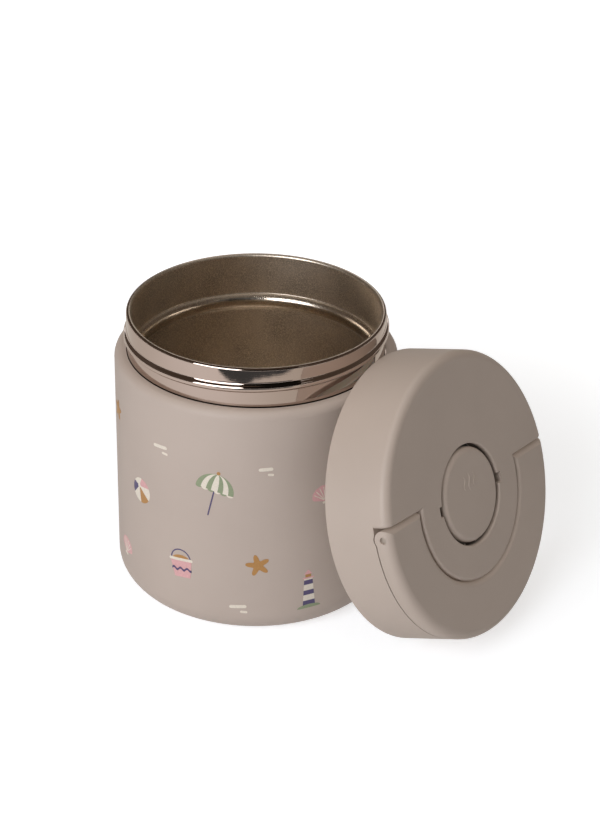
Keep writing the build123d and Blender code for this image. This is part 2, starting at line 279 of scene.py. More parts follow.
def new_polygon(name: str, places: Sequence[Place], fill: str = "NOTHING") -> Piece:
    """Start a piece as one polygon.

    Args:
        name: Name of the piece.
        places: Its corners in order.
        fill: NOTHING for edges alone, or NGON for a face.

    Returns:
        The new piece.
    """
    clear_bench()
    bpy.ops.mesh.primitive_circle_add(vertices=len(places), radius=1.0, fill_type=fill)
    piece = bpy.context.object
    piece.name = piece.data.name = name
    for vertex, place in zip(piece.data.vertices, places):
        vertex.co = place
    return piece


def draw_section(name: str, corners: Sequence[Point]) -> Piece:
    """Draw a closed outline in the plane of X and Z, from the radii and heights of its corners."""
    return new_polygon(name, [(radius, 0.0, height) for radius, height in corners])


def wind(section: Piece, pitch: float, turns: float, steps: int) -> np.ndarray:
    """Wind a drawn section about Z into a helix.

    Args:
        section: Piece from draw_section.
        pitch: Rise of one turn.
        turns: How many turns.
        steps: Steps of the whole helix.

    Returns:
        How many turns along the helix each vertex lies.
    """
    use_modifier(
        section, "SCREW", angle=TURN * turns, screw_offset=pitch * turns,
        steps=steps, render_steps=steps, use_merge_vertices=False,
    )
    places = read_vertices(section)
    bearing = np.arctan2(places[:, 1], places[:, 0]) % TURN / TURN
    return bearing + np.round(places[:, 2] / pitch - bearing)


# ---- Finishes ----


class NodeBench:
    """Node tree of a material or a world while it is wired."""

    def __init__(self, owner: Look | bpy.types.World | str) -> None:
        """Take up a tree, or start a material with a bare Principled shader.

        Args:
            owner: The tree's owner, or the name of a new material.
        """
        if isinstance(owner, str):
            owner = bpy.data.materials.new(owner)
            owner.use_nodes = True
        self.owner, self.tree = owner, owner.node_tree
        self.shader = self.find("BSDF_PRINCIPLED", "BACKGROUND")
        self.place = self.add("TexCoord").outputs["Object"]

    def find(self, *kinds: str) -> Node:
        """Return the first node of some types."""
        return next(node for node in self.tree.nodes if node.type in kinds)

    def feed(self, target: Socket, source: Any) -> None:
        """Link or set a socket.

        Args:
            target: The socket.
            source: Another socket, or a value.
        """
        if isinstance(source, Socket):
            self.tree.links.new(source, target)
        else:
            target.default_value = source

    def add(self, kind: str, inputs: dict[str | int, Any] | None = None, **settings: Any) -> Node:
        """Add a node.

        Args:
            kind: Its type, without Blender's prefix.
            inputs: What its sockets are linked or set to.
            **settings: Its own values.

        Returns:
            The node.
        """
        node = self.tree.nodes.new(f"ShaderNode{kind}")
        for name, value in settings.items():
            setattr(node, name, value)
        for name, value in (inputs or {}).items():
            self.feed(node.inputs[name], value)
        return node

    def set(self, **values: Any) -> Look:
        """Link or set sockets of the shader.

        Args:
            **values: What they take, with underscores for spaces in their names.

        Returns:
            The material.
        """
        for name, value in values.items():
            self.feed(self.shader.inputs[name.replace("_", " ")], value)
        return self.owner

    def swap_shader(self, shader: Node) -> Look:
        """Put another shader in place of the first one.

        Args:
            shader: The other shader.

        Returns:
            The material or the world.
        """
        self.tree.nodes.remove(self.shader)
        self.feed(self.find("OUTPUT_MATERIAL", "OUTPUT_WORLD").inputs["Surface"], shader.outputs[0])
        return self.owner

    def math(self, operation: str, *values: Any) -> Socket:
        """Add one step of arithmetic."""
        return self.add("Math", dict(enumerate(values)), operation=operation).outputs["Value"]

    def vectors(self, operation: str, *values: Any) -> Node:
        """Add one step of arithmetic with vectors."""
        return self.add("VectorMath", dict(enumerate(values)), operation=operation)

    def axes(self) -> bpy.types.bpy_prop_collection:
        """Return the place on the piece as its X, Y and Z."""
        return self.add("SeparateXYZ", {"Vector": self.place}).outputs

    def stretched(self, upright: float) -> Socket:
        """Return the place on the piece, stretched along Z."""
        return self.add("Mapping", {"Vector": self.place, "Scale": (1.0, 1.0, upright)}).outputs["Vector"]

    def ramp(self, source: Socket, start: float, end: float, low: float = 0.0, high: float = 1.0,
             easing: str = "SMOOTHSTEP") -> Socket:
        """Carry a range of values over to another one, and clamp what lies beyond."""
        inputs = {"Value": source, "From Min": start, "From Max": end, "To Min": low, "To Max": high}
        return self.add("MapRange", inputs, interpolation_type=easing).outputs["Result"]

    def belt(self, span: Point, edge: float) -> Socket:
        """Return one between two heights and zero beyond them, with a fade inside each."""
        apart = self.math("ABSOLUTE", self.math("SUBTRACT", self.axes()["Z"], sum(span) / 2))
        return self.ramp(apart, (span[1] - span[0]) / 2 - edge, (span[1] - span[0]) / 2, 1.0, 0.0)

    def seen_directly(self) -> Socket:
        """Tell rays that look at a surface from rays that gather light.

        Returns:
            One for camera, mirror and glass rays, and zero for others.
        """
        path = self.add("LightPath").outputs
        mirrored = self.math("MAXIMUM", path["Is Camera Ray"], path["Is Glossy Ray"])
        return self.math("MAXIMUM", mirrored, path["Is Transmission Ray"])

    def noise(self, cells: float, octaves: float = 2.0, place: Socket | None = None) -> Socket:
        """Return a noise pattern, about 0.5 in the middle, with its cells per metre."""
        inputs = {"Vector": place or self.place, "Scale": cells, "Detail": octaves}
        return self.add("TexNoise", inputs).outputs["Fac"]

    def spread(self, pattern: Socket, low: float, high: float, reach: float = 0.25) -> Socket:
        """Spread what lies within a reach of 0.5 in a pattern over a range."""
        return self.ramp(pattern, 0.5 - reach, 0.5 + reach, low, high, "LINEAR")

    def blend(self, share: Socket, first: Any, second: Any) -> Socket:
        """Mix two colours, each a socket or a colour, by a share."""
        return self.add("Mix", {"Factor": share, "A": first, "B": second}, data_type="RGBA").outputs["Result"]

    def drift(self, colour: Colour, gains: Point, cells: float, reach: float = 0.25) -> Socket:
        """Return a colour that drifts between two gains."""
        share = self.spread(self.noise(cells, 3.0), 0.0, 1.0, reach)
        return self.blend(share, *(linear(colour, gain) for gain in gains))

    def worn(self, roughness: float, stray: float, cells: float) -> Socket:
        """Return a roughness that strays to both sides."""
        return self.spread(self.noise(cells), roughness - stray, roughness + stray)

    def bump(self, height: Socket, depth: float, under: Socket | None = None) -> Socket:
        """Return the normal as relief of a depth bends it, over other relief if there is any."""
        inputs = {"Distance": depth, "Height": height} | ({"Normal": under} if under else {})
        return self.add("Bump", inputs).outputs["Normal"]


@dataclass(frozen=True)
class MattCoat:
    """Soft matt coat of the wall and of the moulded lid, with a faint drift of tone.

    Orange peel and grain each have their cells per metre and their depth.
    """

    name: str
    colour: Colour
    roughness: float = 0.52
    peel: Point = (900.0, 0.012 * MM)
    grain: Point = (5200.0, 0.0022 * MM)
    drift: float = 0.035
    speck_cells: float = 2600.0
    speck_share: float = 0.05
    speck_gain: float = 0.82
    index: float = 1.45

    def material(self) -> Look:
        """Build the material.

        Returns:
            The material.
        """
        bench = NodeBench(self.name)
        tone = bench.drift(self.colour, (1 - self.drift, 1 + self.drift), 24.0)
        speck = bench.spread(bench.noise(self.speck_cells, 1.0), 0.0, self.speck_share, 0.2)
        speckled = bench.blend(speck, tone, linear(self.colour, self.speck_gain))
        peel = bench.bump(bench.noise(self.peel[0]), self.peel[1])
        grain = bench.bump(bench.noise(self.grain[0]), self.grain[1], peel)
        worn = bench.worn(self.roughness, 0.04, 60.0)
        return bench.set(Base_Color=speckled, Roughness=worn, Normal=grain, IOR=self.index)


class SteelWork(Enum):
    """How a steel surface was worked."""

    POLISHED = "polished"
    BLASTED = "blasted"
    TURNED = "turned"
    DRAWN = "drawn"


@dataclass(frozen=True)
class SteelFinish:
    """Stainless steel, with the marks of the work that finished it.

    Between two heights it may be spun smooth, and between two others it may be darkened with painted shadow: a band
    that stands in for the shade in the gap at a seam.
    """

    name: str
    colour: Colour
    work: SteelWork
    roughness: float
    spun: Point | None = None
    spun_gain: float = 0.14
    spun_edge: float = 0.5 * MM
    # Heights of the band of painted shadow at the seam, with its fade and its dark tone.
    seam: Point | None = None
    painted_shadow_edge: float = 0.12 * MM
    painted_shadow_tone: Colour = (38, 31, 27)

    def relief(self, bench: NodeBench) -> Socket:
        """Model the relief that the work leaves.

        Args:
            bench: Tree of the material.

        Returns:
            The normal as the relief bends it.
        """
        if self.work is SteelWork.POLISHED:
            sway = bench.bump(bench.noise(38.0, 1.0), 0.03 * MM)
            return bench.bump(bench.noise(160.0, 3.0, bench.stretched(26.0)), 0.0011 * MM, sway)
        if self.work is SteelWork.BLASTED:
            pits = bench.bump(bench.noise(2600.0), 0.016 * MM)
            return bench.bump(bench.noise(900.0), 0.012 * MM, pits)
        if self.work is SteelWork.TURNED:
            return bench.bump(self.rings(bench), 0.004 * MM)
        return bench.bump(bench.noise(220.0, 3.0, bench.stretched(30.0)), 0.006 * MM)

    def rings(self, bench: NodeBench) -> Socket:
        """Draw fine rings about the Z axis, as a lathe leaves them.

        Args:
            bench: Tree of the material.

        Returns:
            The pattern.
        """
        axes = bench.axes()
        radius = bench.math("SQRT", bench.math("ADD", *(bench.math("POWER", axes[name], 2.0) for name in "XY")))
        unrolled = bench.add("CombineXYZ", {"X": radius, "Y": bench.math("MULTIPLY", axes["Z"], 0.2)})
        return bench.noise(2400.0, 2.0, unrolled.outputs["Vector"])

    def material(self) -> Look:
        """Build the material.

        Returns:
            The material.
        """
        bench = NodeBench(self.name)
        if self.work is SteelWork.BLASTED:
            tone, stray = bench.drift(self.colour, (0.8, 1.1), 75.0, 0.2), 0.05
            spark = bench.spread(bench.noise(2600.0, 1.0), -0.5, 1.0, 0.15)
            tone = bench.blend(spark, tone, linear(self.colour, 1.42))
        else:
            tone, stray = bench.drift(self.colour, (0.95, 1.05), 32.0), 0.22
        smear = bench.noise(90.0, 3.0, bench.stretched(2.5))
        worn = bench.spread(smear, self.roughness * (1 - stray), self.roughness * (1 + stray))
        # Painted shadow: the band at the seam fades to the dark tone, standing in for the shade in the gap there.
        if self.seam is not None:
            tone = bench.blend(bench.belt(self.seam, self.painted_shadow_edge), tone, linear(self.painted_shadow_tone))
        if self.spun is not None:
            polish = bench.math("MULTIPLY", bench.belt(self.spun, self.spun_edge), self.spun_gain)
            worn = bench.math("SUBTRACT", worn, polish)
        return bench.set(Base_Color=tone, Metallic=1.0, Roughness=worn, Normal=self.relief(bench))


@dataclass(frozen=True)
class SoftFinish:
    """Silicone or foam: a dull surface that may let a little light in."""

    name: str
    colour: Colour
    roughness: float
    cells: float
    depth: float
    glow: float = 0.0
    glow_depth: float = 0.6 * MM

    def material(self) -> Look:
        """Build the material.

        Returns:
            The material.
        """
        bench = NodeBench(self.name)
        pores = bench.add("TexVoronoi", {"Vector": bench.place, "Scale": self.cells}, feature="F1")
        tone = bench.drift(self.colour, (0.94, 1.03), 40.0)
        relief = bench.bump(pores.outputs["Distance"], self.depth)
        bench.set(Subsurface_Weight=self.glow, Subsurface_Scale=self.glow_depth)
        return bench.set(Base_Color=tone, Roughness=bench.worn(self.roughness, 0.06, 300.0), Normal=relief)


@dataclass(frozen=True)
class InkFinish:
    """Screen-printed ink: nearly flat colour with thin spots and a satin skin."""

    ink: Ink
    roughness: float = 0.46

    def material(self) -> Look:
        """Build the material.

        Returns:
            The material.
        """
        bench = NodeBench(f"ink_{self.ink.name.lower()}")
        tone = bench.drift(self.ink.value, (0.9, 1.06), 1500.0)
        relief = bench.bump(bench.noise(900.0), 0.008 * MM)
        return bench.set(Base_Color=tone, Roughness=bench.worn(self.roughness, 0.05, 420.0), Normal=relief)


# ---- The jar ----


@dataclass
class RolledNeck:
    """Polished neck with the thread that is rolled into it: one helical ridge that fades at both ends."""

    radius: float = 47.4 * MM
    seat: float = 92.6 * MM
    rim: float = 108.6 * MM
    wall: float = 0.8 * MM
    flange: float = 1.5 * MM
    lip: float = 1.9 * MM
    lip_depth: float = 1.8 * MM
    lip_fullness: float = 0.9
    lip_segments: int = 10
    ridge_front: float = 100.9 * MM
    ridge_pitch: float = 6.6 * MM
    ridge_above: float = 2.4 * MM
    ridge_below: float = 1.6 * MM
    ridge_depth: float = 1.1 * MM
    crest: float = 0.28 * MM
    turns: float = 1.06
    fade: float = 24.0
    steps: int = 384
    cuts: int = 96

    def section(self) -> list[Point]:
        """Work out the neck's section.

        Returns:
            Its corners in order.
        """
        seam, inner, outer = self.radius - self.lip / 2, self.radius - self.wall, self.radius + self.flange
        foot, under = self.seat - self.wall, self.rim - self.lip_depth
        outside, top = [(self.radius, self.seat), (self.radius, self.rim)], [(seam, self.rim), (seam, under)]
        return outside + top + [(inner, under - self.wall), (inner, foot), (outer, foot), (outer, self.seat)]

    def round_rim(self, section: Piece) -> None:
        """Round the section's outer corner at the rim.

        Args:
            section: The drawn section.
        """
        open_mesh(section, selected=False)
        close_mesh()
        rim, offset = Vector((self.radius, 0.0, self.rim)), self.lip / 2 * self.lip_fullness
        min(section.data.vertices, key=lambda vertex: (vertex.co - rim).length).select = True
        bpy.ops.object.mode_set(mode="EDIT")
        bpy.ops.mesh.bevel(offset=offset, segments=self.lip_segments, affect="VERTICES", clamp_overlap=True)
        close_mesh()

    def divide_wall(self, section: Piece) -> None:
        """Divide the section's long outer edge, so that the ridge can be rolled into it.

        Args:
            section: The drawn section.
        """
        open_mesh(section, "EDGE", selected=False)
        close_mesh()
        vertices = section.data.vertices
        for edge in section.data.edges:
            ends = [vertices[index].co for index in edge.vertices]
            on_wall = all(abs(end.x - self.radius) < 0.01 * MM for end in ends)
            edge.select = on_wall and abs(ends[0].z - ends[1].z) > 5 * MM
        bpy.ops.object.mode_set(mode="EDIT")
        bpy.ops.mesh.subdivide(number_cuts=self.cuts)
        close_mesh()

    def ridge(self, bearing: np.ndarray, height: np.ndarray) -> np.ndarray:
        """Return how far the ridge stands out.

        Args:
            bearing: Angles about Z.
            height: Heights.

        Returns:
            The ridge's depth at each point.
        """
        depth = np.zeros_like(height)
        half_turn = 180.0 * self.turns
        for lap in (-1, 0, 1):
            along = (bearing + 90.0 + 180.0) % 360.0 - 180.0 + 360.0 * lap
            middle = self.ridge_front + self.ridge_pitch * along / 360.0
            off = height - middle
            reach = np.where(off > 0, self.ridge_above, self.ridge_below)
            flank = np.clip((reach - np.abs(off)) / (reach - self.crest), 0.0, 1.0)
            end = np.clip((half_turn - np.abs(along)) / self.fade, 0.0, 1.0)
            rise = flank**3 * (10 + flank * (6 * flank - 15)) * end * end * (3 - 2 * end)
            depth = np.maximum(depth, self.ridge_depth * rise)
        return depth

    def build(self, steel: Look) -> None:
        """Build the neck in place of its plain CAD solid.

        Args:
            steel: Its material.
        """
        neck = draw_section("rolled_neck", self.section())
        self.round_rim(neck)
        self.divide_wall(neck)
        open_mesh(neck)
        bpy.ops.mesh.spin(steps=self.steps, angle=TURN, center=(0, 0, 0), axis=(0, 0, 1))
        close_mesh()
        tidy_surface(neck)
        places = read_vertices(neck)
        radius = np.hypot(places[:, 0], places[:, 1])
        bearing = np.degrees(np.arctan2(places[:, 1], places[:, 0]))
        outer = np.abs(radius - self.radius) < 0.02 * MM
        grow(places, radius + np.where(outer, self.ridge(bearing, places[:, 2]), 0.0))
        write_vertices(neck, places)
        finish_piece(neck, 50, Body.JAR, Slot.POLISHED, steel)
        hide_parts("neck_ring")


Shape = tuple[Ink, list[Point], int]
Spot = tuple[float, float, float]


def turned(point: Point, angle: float) -> Point:
    """Turn a point about the origin."""
    cos, sin = math.cos(math.radians(angle)), math.sin(math.radians(angle))
    return point[0] * cos - point[1] * sin, point[0] * sin + point[1] * cos


def ellipse(middle: Point, half: Point, start: float = 0.0, end: float = 360.0, steps: int = 36) -> list[Point]:
    """Return points of an ellipse of half a width and a height, or of the part between two angles."""
    angles = np.radians(np.linspace(start, end, steps, endpoint=abs(end - start) < 360.0))
    return [(middle[0] + half[0] * math.cos(angle), middle[1] + half[1] * math.sin(angle)) for angle in angles]


def capsule(middle: Point, length: float, width: float, turn: float = 0.0) -> list[Point]:
    """Return a bar with round ends.

    Args:
        middle: Its middle.
        length: Its whole length.
        width: Its width.
        turn: Angle of its length.

    Returns:
        Points in order.
    """
    half, end = (length - width) / 2, (width / 2, width / 2)
    edge = ellipse((half, 0.0), end, -90, 90, 10) + ellipse((-half, 0.0), end, 90, 270, 10)
    return [(middle[0] + x, middle[1] + y) for x, y in (turned(point, turn) for point in edge)]


@dataclass
class PrintPress:
    """Lays flat shapes of ink on a roll and wraps them round the jar's wall."""

    wall_radius: float
    proud: float = 0.025 * MM
    layer_step: float = 0.02 * MM
    sunk: float = 0.1 * MM
    strip: float = 1.4 * MM
    roll: dict[Ink, list[Piece]] = field(default_factory=lambda: {ink: [] for ink in Ink})

    def lay(self, spot: Spot, shape: Shape) -> None:
        """Lay one flat shape.

        Args:
            spot: Bearing, height and tilt of its motif on the wall.
            shape: Its ink, its outline, and how many inks lie under it.
        """
        (bearing, height, tilt), (ink, outline, layer) = spot, shape
        along = math.radians(bearing) * self.wall_radius
        corners = [turned(point, tilt) for point in outline]
        places = [(along + x * MM, (height + y) * MM, layer * self.layer_step) for x, y in corners]
        self.roll[ink].append(new_polygon("shape", places, "NGON"))

    def divide(self, sheet: Piece) -> None:
        """Cut a flat sheet into upright strips narrow enough to follow the wall.

        Args:
            sheet: The sheet.
        """
        open_mesh(sheet, "FACE")
        bpy.ops.mesh.quads_convert_to_tris(quad_method="BEAUTY", ngon_method="BEAUTY")
        reach = math.pi * self.wall_radius
        for step in range(1, int(2 * reach / self.strip)):
            bpy.ops.mesh.select_all(action="SELECT")
            bpy.ops.mesh.bisect(plane_co=(step * self.strip - reach, 0, 0), plane_no=(1, 0, 0))
        close_mesh()

    def wrap(self, sheet: Piece) -> None:
        """Wrap a flat sheet round the wall.

        Args:
            sheet: The sheet.
        """
        flat = read_vertices(sheet)
        bearing = flat[:, 0] / self.wall_radius
        radius = self.wall_radius + self.proud + flat[:, 2]
        write_vertices(sheet, np.stack([radius * np.cos(bearing), radius * np.sin(bearing), flat[:, 1]], axis=1))

    def pull(self) -> None:
        """Make one finished piece of every ink."""
        for ink, shapes in self.roll.items():
            sheet = join_pieces(shapes, f"print_{ink.name.lower()}")
            self.divide(sheet)
            self.wrap(sheet)
            use_modifier(sheet, "SOLIDIFY", thickness=self.sunk, offset=-1.0)
            finish_piece(sheet, 30, Body.JAR, None, InkFinish(ink).material())


@dataclass(frozen=True)
class Parasol:
    """Striped beach parasol with a scalloped edge."""

    half_width: float = 7.2
    rise: float = 7.0
    pole: float = 9.0

    def shapes(self) -> Iterator[Shape]:
        """Draw the parasol.

        Yields:
            The ink, outline and layer of each.
        """
        yield Ink.NAVY, capsule((0.0, 0.2), 2 * self.pole, 0.55, 90), 0
        yield Ink.MUSTARD, ellipse((0.0, self.rise + 2.6), (0.7, 0.7), steps=16), 1
        for index, share in enumerate((1.0, 0.72, 0.44, 0.17)):
            dome = ellipse((0.0, 2.0), (self.half_width * share, self.rise), 0, 180, 26)
            yield Ink.CREAM if index % 2 else Ink.SAGE, dome, index + 1
        for step in range(6):
            middle = self.half_width * (step - 2.5) / 3
            scallop = ellipse((middle, 2.0), (self.half_width / 6, 0.75), 180, 360, 10)
            yield Ink.CREAM if step % 2 else Ink.SAGE, scallop, 1


@dataclass(frozen=True)
class BeachBall:
    """Ball with coloured panels that meet at a button near its top."""

    radius: float = 5.0
    button: Point = (-0.9, 1.7)

    def shapes(self) -> Iterator[Shape]:
        """Draw the ball.

        Yields:
            The ink, outline and layer of each.
        """
        size = (self.radius, self.radius)
        yield Ink.CREAM, ellipse((0.0, 0.0), size), 0
        for index, ink in enumerate((Ink.ROSE, Ink.NAVY, Ink.MUSTARD)):
            rim = ellipse((0.0, 0.0), size, 20 + 120 * index, 80 + 120 * index, 12)
            yield ink, [self.button, *rim], 1
        yield Ink.CREAM, ellipse(self.button, (0.85, 0.75), steps=16), 2


@dataclass(frozen=True)
class SandBucket:
    """Child's bucket with a band, a wire handle and a heap of sand."""

    top: float = 4.6
    bottom: float = 3.3
    height: float = 7.4

    def shapes(self) -> Iterator[Shape]:
        """Draw the bucket.

        Yields:
            The ink, outline and layer of each.
        """
        half, wire = self.height / 2, self.top * 0.94
        outer = ellipse((0.0, half), (wire, 4.4), 0, 180, 20)
        inner = ellipse((0.0, half), (wire - 0.5, 3.9), 180, 0, 20)
        yield Ink.NAVY, outer + inner, 0
        yield Ink.MUSTARD, ellipse((0.0, half), (self.top * 0.78, 1.9), 0, 180, 18), 1
        yield Ink.ROSE, [(-self.top, half), (-self.bottom, -half), (self.bottom, -half), (self.top, half)], 2
        yield Ink.CREAM, capsule((0.0, half), 2 * self.top + 0.9, 1.1), 3
        wave = [(-4.1 + 0.41 * step, 0.15 + 0.5 * math.sin(step * 0.9)) for step in range(21)]
        yield Ink.NAVY, wave + [(x, y - 0.85) for x, y in reversed(wave)], 3


@dataclass(frozen=True)
class Starfish:
    """Five soft arms with a row of dots."""

    reach: float = 4.6
    waist: float = 2.0

    def shapes(self) -> Iterator[Shape]:
        """Draw the star.

        Yields:
            The ink, outline and layer of each.
        """
        edge = []
        for step in range(60):
            swell = (0.5 + 0.5 * math.cos(5 * TURN * step / 60)) ** 1.35
            edge.append(turned((0.0, self.waist + (self.reach - self.waist) * swell), -360 * step / 60))
        yield Ink.MUSTARD, edge, 0
        for arm in range(5):
            for distance in (1.5, 2.7):
                yield Ink.CREAM, ellipse(turned((0.0, distance), -72 * arm), (0.3, 0.3), steps=10), 1


@dataclass(frozen=True)
class ScallopShell:
    """Fan of a scallop with its ribs and hinge."""

    radius: float = 4.4

    def shapes(self) -> Iterator[Shape]:
        """Draw the shell.

        Yields:
            The ink, outline and layer of each.
        """
        fan = [(0.0, -self.radius * 0.62)]
        for step in range(43):
            angle = math.radians(-12 + 204 * step / 42)
            radius = self.radius * (1 + 0.045 * abs(math.sin(step * math.pi / 6)))
            fan.append((radius * math.cos(angle), radius * math.sin(angle) * 0.86 + 0.4))
        yield Ink.ROSE, fan, 0
        for rib in map(math.radians, (-62, -37, -12, 12, 37, 62)):
            tip = (math.sin(rib) * self.radius * 0.9, math.cos(rib) * self.radius * 0.76 + 0.3)
            foot = (tip[0] * 0.12, -self.radius * 0.42)
            middle = ((tip[0] + foot[0]) / 2, (tip[1] + foot[1]) / 2)
            turn = math.degrees(math.atan2(tip[1] - foot[1], tip[0] - foot[0]))
            yield Ink.CREAM, capsule(middle, math.dist(tip, foot), 0.32, turn), 1
        yield Ink.CREAM, capsule((0.0, -self.radius * 0.66), 2.6, 0.95), 2


@dataclass(frozen=True)
class Lighthouse:
    """Striped tower with a lamp room."""

    height: float = 13.0
    foot: float = 2.5
    head: float = 1.6

    def storey(self, low: float, high: float) -> list[Point]:
        """Outline the part of the tower between two shares of its height.

        Args:
            low: The lower share.
            high: The upper share.

        Returns:
            Its corners in order.
        """
        right = [(self.foot + (self.head - self.foot) * share, self.height * (share - 0.5)) for share in (low, high)]
        left = [(-x, y) for x, y in right]
        return [left[0], *right, left[1]]

    def shapes(self) -> Iterator[Shape]:
        """Draw the tower.

        Yields:
            The ink, outline and layer of each.
        """
        top = self.height / 2
        yield Ink.CREAM, self.storey(0.0, 1.0), 0
        for low in (0.1, 0.44, 0.78):
            yield Ink.NAVY, self.storey(low, low + 0.15), 1
        yield Ink.MUSTARD, [(-1.1, top), (1.1, top), (1.1, top + 1.7), (-1.1, top + 1.7)], 1
        yield Ink.ROSE, capsule((0.0, top), 4.4, 0.6), 2
        yield Ink.ROSE, [(-1.6, top + 1.6), (1.6, top + 1.6), (0.0, top + 3.5)], 2
        yield Ink.SAGE, ellipse((0.0, -top), (4.6, 1.5), 0, 180, 20), 2


@dataclass(frozen=True)
class SandRipple:
    """Short ripples in the sand, one beside the other."""

    length: float = 6.4
    width: float = 1.3

    def shapes(self) -> Iterator[Shape]:
        """Draw the ripples.

        Yields:
            The ink, outline and layer of each.
        """
        yield Ink.CREAM, capsule((0.0, 0.0), self.length, self.width, 4), 0
        beside = (self.length * 0.34, -self.width * 1.7)
        yield Ink.CREAM, capsule(beside, self.length * 0.42, self.width * 0.72, -3), 0


SEASIDE = {
    Parasol(): ((-107, 59, -13), (-2, 28, 11), (115, 66, -9)),
    BeachBall(): ((-143, 50, 8), (-37, 32, -12), (85, 46, 24), (168, 58, -18)),
    SandBucket(): ((-121, 25, 6), (-24, 66, -7), (62, 22, 9)),
    Starfish(): ((-89, 31, 14), (14, 72, 20), (129, 33, -6)),
    Starfish(reach=4.0): ((-165, 74, -8),),
    ScallopShell(): ((-157, 19, -10), (-62, 57, 16), (28, 45, -14), (101, 18, 8)),
    Lighthouse(): ((-68, 17, 2), (50, 62, -2), (156, 23, 3)),
    SandRipple(): ((-131, 73, 0), (-97, 13, 0), (-47, 80, 0), (33, 19, 0), (78, 76, 0), (-179, 38, 0)),
    SandRipple(length=5.2): ((-86, 71, 0), (-18, 12, 0), (142, 74, 0)),
}


@dataclass
class JarDress:
    """Everything that dresses the jar: coat, steels, rolled neck and decor."""

    wall_radius: float = 52.0 * MM
    paint: MattCoat = MattCoat("soft_matt_coat", (176, 161, 151))
    # The neck's foot, beside the narrow gap over the painted shoulder, carries a band of painted shadow.
    polished: SteelFinish = SteelFinish(
        "polished_steel", (192, 176, 166), SteelWork.POLISHED, 0.03, seam=(92.6 * MM, 93.95 * MM)
    )
    satin: SteelFinish = SteelFinish(
        "blasted_steel", (207, 195, 180), SteelWork.BLASTED, 0.35, spun=(86.9 * MM, 92.6 * MM)
    )
    base: SteelFinish = SteelFinish("turned_steel", (190, 186, 180), SteelWork.TURNED, 0.3)
    inner: SteelFinish = SteelFinish("drawn_steel", (170, 166, 160), SteelWork.DRAWN, 0.34)

    def build(self) -> None:
        """Dress the jar's nodes and add its pieces."""
        dress_nodes(self.paint.material(), Slot.PAINT, "outer_shell")
        dress_nodes(self.satin.material(), Slot.SATIN, "inner_vessel")
        dress_nodes(self.base.material(), Slot.BASE, "base_cup")
        dress_nodes(self.inner.material(), Slot.BASE, "vacuum_seal", "getter")
        RolledNeck().build(self.polished.material())
        press = PrintPress(self.wall_radius)
        for motif, spots in SEASIDE.items():
            for spot in spots:
                for shape in motif.shapes():
                    press.lay(spot, shape)
        press.pull()


# ---- The lid ----


@dataclass
class LidFrame:
    """Place of the lid: local X along the hinge line, Z out of the face, origin in the open end's plane.

    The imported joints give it, with the hinge line's distance from the lid's axis and from that plane.
    """

    hinge_offset: float = 1.0 * MM
    hinge_height: float = 22.9 * MM

    def __post_init__(self) -> None:
        """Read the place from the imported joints."""
        joints = {joint["name"]: joint for joint in frame["joints"]}
        across = -Vector(joints["handle_hinge"]["axis"]).normalized()
        out = -Vector(joints["button_press"]["axis"]).normalized()
        up = out.cross(across).normalized()
        origin = Vector(joints["handle_hinge"]["pos_m"]) - up * self.hinge_offset - out * self.hinge_height
        self.matrix = Matrix.Translation(origin) @ Matrix((across, up, out)).transposed().to_4x4()
        self.out = tuple(self.matrix.to_3x3() @ Vector((0.0, 0.0, 1.0)))


@dataclass
class LidPiece:
    """A piece that is made about the world's origin and finished on the lid."""

    place: LidFrame
    look: Look

    def finish(self, piece: Piece, angle: float, body: Body, slot: Slot) -> None:
        """Tidy the piece, move it onto the lid and finish it.

        Args:
            piece: The piece.
            angle: Edges sharper than this stay crisp.
            body: Body that it rides on.
            slot: Slot of the record.
        """
        tidy_surface(piece)
        piece.data.transform(self.place.matrix)
        piece.data.update()
        finish_piece(piece, angle, body, slot, self.look)


@dataclass(frozen=True)
class WellShade:
    """Shade that gathers on the walls of the narrow gap round the button."""

    radii: Point = (15.2 * MM, 20.4 * MM)
    depths: Point = (0.9 * MM, 2.6 * MM)
    face: float = 25.9 * MM
    edge: float = 0.4 * MM
    share: float = 0.8
    dark: tuple[float, float, float, float] = (0.006, 0.004, 0.003, 1.0)

    def lay(self, place: LidFrame, look: Look) -> None:
        """Darken a material in the gap.

        Args:
            place: Place of the lid.
            look: A material of pieces that the gap shows.
        """
        bench = NodeBench(look)
        away = bench.vectors("SUBTRACT", bench.place, tuple(place.matrix.to_translation())).outputs["Vector"]
        height = bench.vectors("DOT_PRODUCT", away, place.out).outputs["Value"]
        whole = bench.vectors("LENGTH", away).outputs["Value"]
        squares = [bench.math("POWER", length, 2.0) for length in (whole, height)]
        radius = bench.math("SQRT", bench.math("MAXIMUM", bench.math("SUBTRACT", *squares), 0.0))
        inner, outer = self.radii
        mask = bench.ramp(bench.math("SUBTRACT", self.face, height), *self.depths)
        for ends in ((inner - self.edge, inner), (outer, outer - self.edge)):
            mask = bench.math("MULTIPLY", mask, bench.ramp(radius, *ends))
        clean = bench.shader.inputs["Base Color"].links[0].from_socket
        bench.set(Base_Color=bench.blend(bench.math("MULTIPLY", mask, self.share), clean, self.dark))


